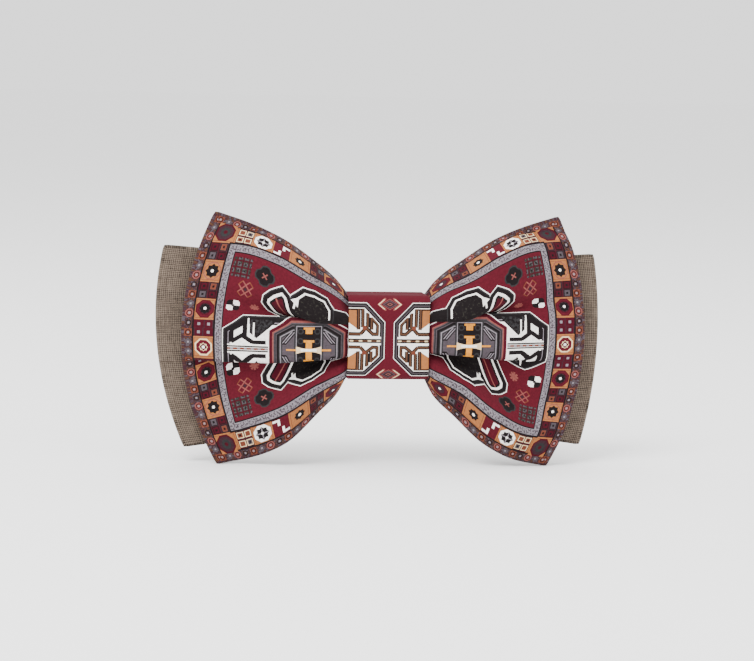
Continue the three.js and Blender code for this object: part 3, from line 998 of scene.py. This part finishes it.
def make_bow(name, bow, material, wing_columns, row_pitch):
    """A bow's front cloth, interlining and backing."""
    columns = bow_columns(bow, wing_columns)
    rows = np.linspace(bow.half_width, -bow.half_width, int(2 * bow.half_width / row_pitch))
    front = panel(
        f"{name}_front_cloth", bow, columns, rows, FRONT_FACE, CLOTH_THICK, material,
        rolled=True,
    )
    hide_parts(f"{name}_bow_face")
    core = panel(
        f"{name}_interlining_felt", bow, columns[::2], rows[::2], FELT_FACE, FELT_THICK, FELT,
        inset=2,
    )
    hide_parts(f"{name}_bow_interlining")
    back = panel(
        f"{name}_back_cloth", bow, columns, rows, BACK_FACE, CLOTH_THICK, material, inset=1
    )
    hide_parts(f"{name}_bow_backing")


make_bow("print", print_bow, COTTON, wing_columns=90, row_pitch=0.55)
make_bow("linen", linen_bow, LINEN, wing_columns=70, row_pitch=0.75)

# ---------------- the knot


def rounded_loop(half_z, half_y, corner, count):
    """Evenly spaced points (z, y) round a rounded rectangle."""
    loop = []
    for quarter in range(4):
        for t in np.linspace(0, math.pi / 2, 14) + quarter * math.pi / 2:
            z = (half_z - corner) * (1 if quarter in (0, 3) else -1) + corner * math.cos(t)
            y = (half_y - corner) * (1 if quarter in (0, 1) else -1) + corner * math.sin(t)
            loop.append((z, y))
    loop = np.array(loop + loop[:1])
    length = path_length(loop)
    t = np.linspace(0, length[-1], count, endpoint=False)
    return [np.interp(t, length, loop[:, k]) for k in (0, 1)]


def path_length(path):
    steps = np.linalg.norm(np.diff(path, axis=0), axis=1)
    return np.concatenate([[0], np.cumsum(steps)])


def wrap_ring(node, name, thick, material, crown):
    """A band wrapped round the waist, its edges folded in and its front a little fuller."""
    middle, half = cad_box_mm(node)
    around, across = 220, 34
    corner, fold_radius, waisted = 3.2, 0.5, 0.25
    shares = np.linspace(-1, 1, across)
    verts, cloth = [], []
    for share, inset in [(x, 0.0) for x in shares] + [(x, thick) for x in shares[::-1]]:
        lip = math.sqrt(1 - (1 - min(1, (1 - abs(share)) * half[0] / fold_radius)) ** 2)
        depth = mix(thick / 2, inset, lip)
        z, y = rounded_loop(half[2] - depth, half[1] - depth, corner - depth, around)
        front = smooth(-y / 3)
        bow = np.cos(np.clip(z / half[2], -1, 1) * math.pi / 2)
        x = share * (half[0] - waisted * bow * (y < 0))
        if inset == 0:
            y = y - crown * (1 - share * share) * front
        verts.append(points_of(x, y, z) + middle)
        v = np.where(y < 0, z, np.sign(z) * (half[2] + y))
        cloth.append(points_of(share * half[0], v))
    faces = grid_faces(2 * across, around, close_rows=True, close_columns=True)
    piece = make_piece(
        name, np.concatenate(verts), faces, material, "bow", np.concatenate(cloth)
    )
    tidy_normals(piece)
    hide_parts(node)


wrap_ring("knot_wrap", "knot_wrap_cloth", 0.7, KNOT_COTTON, 0.35)
wrap_ring("knot_wrap_lining", "knot_lining_felt", 0.45, FELT, 0.3)

# ---------------- the neckband

BAND_THICK, LOOP_THICK = 1.1, 0.85
# Depths of the middles of the band's runs, from the flat outer one forwards.
MAIN_RUN, RETURN_RUN, RUN_2, RUN_1, RUN_0 = -0.55, -3.85, -5.45, -7.15, -10.85
FOLD_X, INNER_FOLD_X = 52.0, 49.0
HOOK_X, EYE_X, SLIDE_X = 7.0, 29.25, -38.0
EYE_LEG, SLIDE_LEG = 10, 7  # the sewn ends behind the eye and the slide


def band_path(*stops):
    """Points along straight runs, with half a turn between stops that share their x."""
    points = [np.array(stops[0], float)]
    for start, end in zip(stops, stops[1:]):
        start, end = np.array(start, float), np.array(end, float)
        middle, half = (start + end) / 2, (end - start) / 2
        if start[0] == end[0]:
            way = np.sign(points[-1][0] - points[-2][0])
            for t in np.linspace(-math.pi / 2, math.pi / 2, 17)[1:]:
                points.append(middle + (way * abs(half[1]) * math.cos(t), half[1] * math.sin(t)))
        else:
            count = max(2, int(abs(half[0]) / 0.7))
            points += [mix(start, end, k / count) for k in range(1, count + 1)]
    return np.array(points)


def ribbon(node, name, path, thick, body):
    """A band of doubled linen along a path, its edges rounded and topstitched."""
    edge_radius, groove_depth, groove_width, ripple_height = 0.55, 0.22, 0.3, 0.05
    along = unit(np.gradient(path, axis=0))
    out = points_of(along[:, 1], -along[:, 0])
    length = path_length(path)
    z = BAND_HALF * np.sin(np.linspace(-math.pi / 2, math.pi / 2, 49))
    edge = BAND_HALF - np.abs(z)
    full = np.sqrt(1 - np.clip(1 - edge / edge_radius, 0, 1) ** 2)
    groove = 1 - groove_depth * np.exp(-(((edge - STITCH_INSET) / groove_width) ** 2))
    swell = thick / 2 * full * groove
    ring_z = np.concatenate([z, z[-2:0:-1]])
    ring_out = np.concatenate([swell, -swell[-2:0:-1]])
    ripple = np.sin(length / 2.7)[None, :] * np.cos(ring_z / 2.1 + 0.6)[:, None]
    reach = ring_out[:, None] + ripple_height * ripple
    x, y = np.moveaxis(path + out * reach[..., None], -1, 0)
    verts = points_of(x, y, ring_z[:, None]).reshape(-1, 3)
    cloth = points_of(length, ring_z[:, None]).reshape(-1, 2)
    faces = tube_faces(*reach.shape)
    piece = make_piece(name, verts, faces, BAND_LINEN, body, cloth)
    tidy_normals(piece)
    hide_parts(node)
    return piece


def make_neckband():
    """The long strap, its doubled return, and the loop sewn round the slide's middle bar."""
    path = band_path(
        (EYE_X + EYE_LEG, RETURN_RUN), (EYE_X, RETURN_RUN), (EYE_X, MAIN_RUN), (FOLD_X, MAIN_RUN),
        (FOLD_X, RUN_0), (-FOLD_X, RUN_0), (-FOLD_X, RUN_1), (INNER_FOLD_X, RUN_1),
        (INNER_FOLD_X, RUN_2), (-FOLD_X, RUN_2), (-FOLD_X, MAIN_RUN), (HOOK_X, MAIN_RUN),
        (HOOK_X, RETURN_RUN),
    )
    ribbon("neckband", "neckband_cloth", path, BAND_THICK, "band")

    start = HOOK_X - 0.3
    path = band_path((start, RETURN_RUN), (SLIDE_X + SLIDE_LEG + 0.3, RETURN_RUN))
    strap = ribbon(
        "neckband_return", "return_strap_cloth", path, BAND_THICK, "band"
    )
    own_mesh(strap)

    far = MAIN_RUN - BAND_THICK / 2 - 0.3 - LOOP_THICK / 2
    leg_end, turn = SLIDE_X + SLIDE_LEG, SLIDE_X - 0.5
    path = band_path((leg_end, RETURN_RUN), (turn, RETURN_RUN), (turn, far), (leg_end, far))
    ribbon(
        "neckband_end_loop", "end_loop_cloth", path, LOOP_THICK, "adjuster"
    )


make_neckband()

# ---------------- threads


def tube(points, radius, sides=8):
    """Points and faces of a round thread along a line of points."""
    points = np.asarray(points, float)
    along = unit(np.gradient(points, axis=0))
    side = unit(np.cross(along[0], (0.31, 0.57, 0.76)))
    rings = []
    for place, way in zip(points, along):
        side = unit(side - way * (side @ way))
        other = np.cross(way, side)
        turns = np.linspace(0, 2 * math.pi, sides, endpoint=False)
        rings.append([place + radius * (side * math.cos(t) + other * math.sin(t)) for t in turns])
    verts = np.transpose(np.array(rings), (1, 0, 2)).reshape(-1, 3)
    return verts, tube_faces(sides, len(points))


def threads(node, lines, radius, body):
    """One piece made of several threads, in place of a CAD node."""
    verts, faces, total = [], [], 0
    for points in lines:
        some, quads = tube(points, radius)
        faces += [[i + total for i in quad] for quad in quads]
        verts.append(some)
        total += len(some)
    piece = make_piece(
        f"{node}_threads", np.concatenate(verts), faces, THREAD, body
    )
    tidy_normals(piece)
    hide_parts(node)


def bartack_lines(node):
    """A dense zigzag over two laid threads, inside the CAD bartack's box."""
    (x, y, _), half = cad_box_mm(node)
    swing, pitch = half[0] - 0.15, 0.32
    z = np.arange(0.15 - half[2], half[2] - 0.1, pitch)
    way = np.where(np.arange(len(z)) % 2, swing, -swing)
    laid = np.linspace(z[0], z[-1], 20)
    return [points_of(x + way, y, z)] + [points_of(x + dx, y, laid) for dx in (-0.25, 0.25)]


def make_threads():
    """The bartacks, the knot's closing stitches, and the thread wound round the waist."""
    threads("eye_bartack", bartack_lines("eye_bartack"), 0.12, "band")
    threads("slide_bartack", bartack_lines("slide_bartack"), 0.12, "adjuster")
    for i in range(1, 6):
        (x, y, _), half = cad_box_mm(f"knot_stitch_{i}")
        share = np.linspace(-1, 1, 15)
        slant, dip = 0.25 * share, 0.16 * np.abs(share) ** 3
        strands = [
            points_of(x + dx + slant, y - dip + 0.02, share * half[2]) for dx in (-0.1, 0.12)
        ]
        threads(f"knot_stitch_{i}", strands, 0.1, "bow")
    middle, half = cad_box_mm("waist_thread")
    half = half - 0.26
    turns, steps = 15, 44
    t = np.linspace(0, 2 * math.pi * turns, turns * steps)
    # a rounded rectangle, drawn as a superellipse
    y, z = (np.sign(wave) * np.abs(wave) ** 0.34 for wave in (np.cos(t), np.sin(t)))
    wound = points_of(mix(-1, 1, t / t[-1]), y, z) * half + middle
    threads("waist_thread", [wound], 0.24, "bow")


make_threads()

# ---------------- the metal fittings

EDGE_RADIUS = 0.16


def make_fitting(node, body):
    """The CAD fitting with its stamped edges tumbled round."""
    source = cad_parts[node]
    piece = add_object(f"{node}_metal", source.data.copy())
    piece.matrix_world = source.matrix_world.copy()
    bm = bmesh.new()
    bm.from_mesh(piece.data)
    # the CAD's triangles become whole flat faces
    bmesh.ops.remove_doubles(bm, verts=bm.verts, dist=0.001 * MM)
    bmesh.ops.dissolve_limit(bm, angle_limit=math.radians(1), verts=bm.verts, edges=bm.edges)
    bm.to_mesh(piece.data)
    bm.free()
    sharp = math.radians(35)
    modify(
        piece, "BEVEL", width=EDGE_RADIUS * MM, segments=3, limit_method="ANGLE", angle_limit=sharp
    )
    piece.data.materials.clear()
    piece.data.materials.append(METAL)
    piece.data.shade_smooth()
    piece.data.set_sharp_from_angle(angle=math.radians(40))
    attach(piece, body)
    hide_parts(node)


for fitting, rides_on in (("adjuster_slide", "adjuster"), ("hook", "hook"), ("eye", "eye")):
    make_fitting(fitting, rides_on)

# ---------------- floor, light and camera


def make_stage():
    """A pale floor under the printed bow's lowest corners, and an even white sky."""
    wings = bpy.data.objects["print_front_cloth"].data.vertices
    lowest = min(v.co.z for v in wings)
    bpy.ops.mesh.primitive_plane_add(size=12, location=(0, 0, lowest))
    floor = bpy.context.object
    floor.name = "floor"
    looks = {"base_color": (0.98, 0.98, 0.98, 1), "roughness": 0.7, "specular_ior_level": 0.2}
    floor.data.materials.append(Painter("pale_floor").finish(**looks))
    world = bpy.data.worlds.new("studio")
    world.use_nodes = True
    sky = world.node_tree.nodes["Background"].inputs
    sky["Color"].default_value = (1, 1, 1, 1)
    sky["Strength"].default_value = 1.7
    bpy.context.scene.world = world


def area_light(name, place, size, power):
    """A square light in metres and watts, aimed at the middle of the object."""
    light = bpy.data.lights.new(name, "AREA")
    light.size = size
    light.energy = power
    made = add_object(name, light)
    made.location = place
    made.rotation_euler = (-Vector(place)).to_track_quat("-Z", "Y").to_euler()


def make_camera():
    """Looks at the bow from a little to the left of straight ahead and a little above."""
    azimuth, elevation, distance = math.radians(-8), math.radians(6), 0.75
    view_width = 0.2128  # what the frame's width takes in at the bow's distance
    level = math.cos(elevation)
    back = Vector((math.sin(azimuth) * level, -math.cos(azimuth) * level, math.sin(elevation)))
    roll = Quaternion((0, 0, 1), math.radians(1.4))
    turn = (-back).to_track_quat("-Z", "Y") @ roll
    knot_front = Vector((0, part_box("knot_wrap")[0][1], 0))
    aim = knot_front + turn @ Vector((-0.0034, 0.0022, 0))  # puts the bow in its place
    data = bpy.data.cameras.new("camera")
    data.lens = data.sensor_width * distance / view_width
    data.clip_start = 0.01
    camera = add_object("camera", data)
    camera.rotation_mode = "QUATERNION"
    camera.rotation_quaternion = turn
    camera.location = aim + back * distance
    bpy.context.scene.camera = camera


make_stage()
area_light("key", (-0.5, -0.6, 0.85), 0.5, 16)
area_light("fill", (0.7, -0.6, 0.35), 0.8, 3)
area_light("top", (0.0, 0.1, 0.9), 0.9, 5)
make_camera()
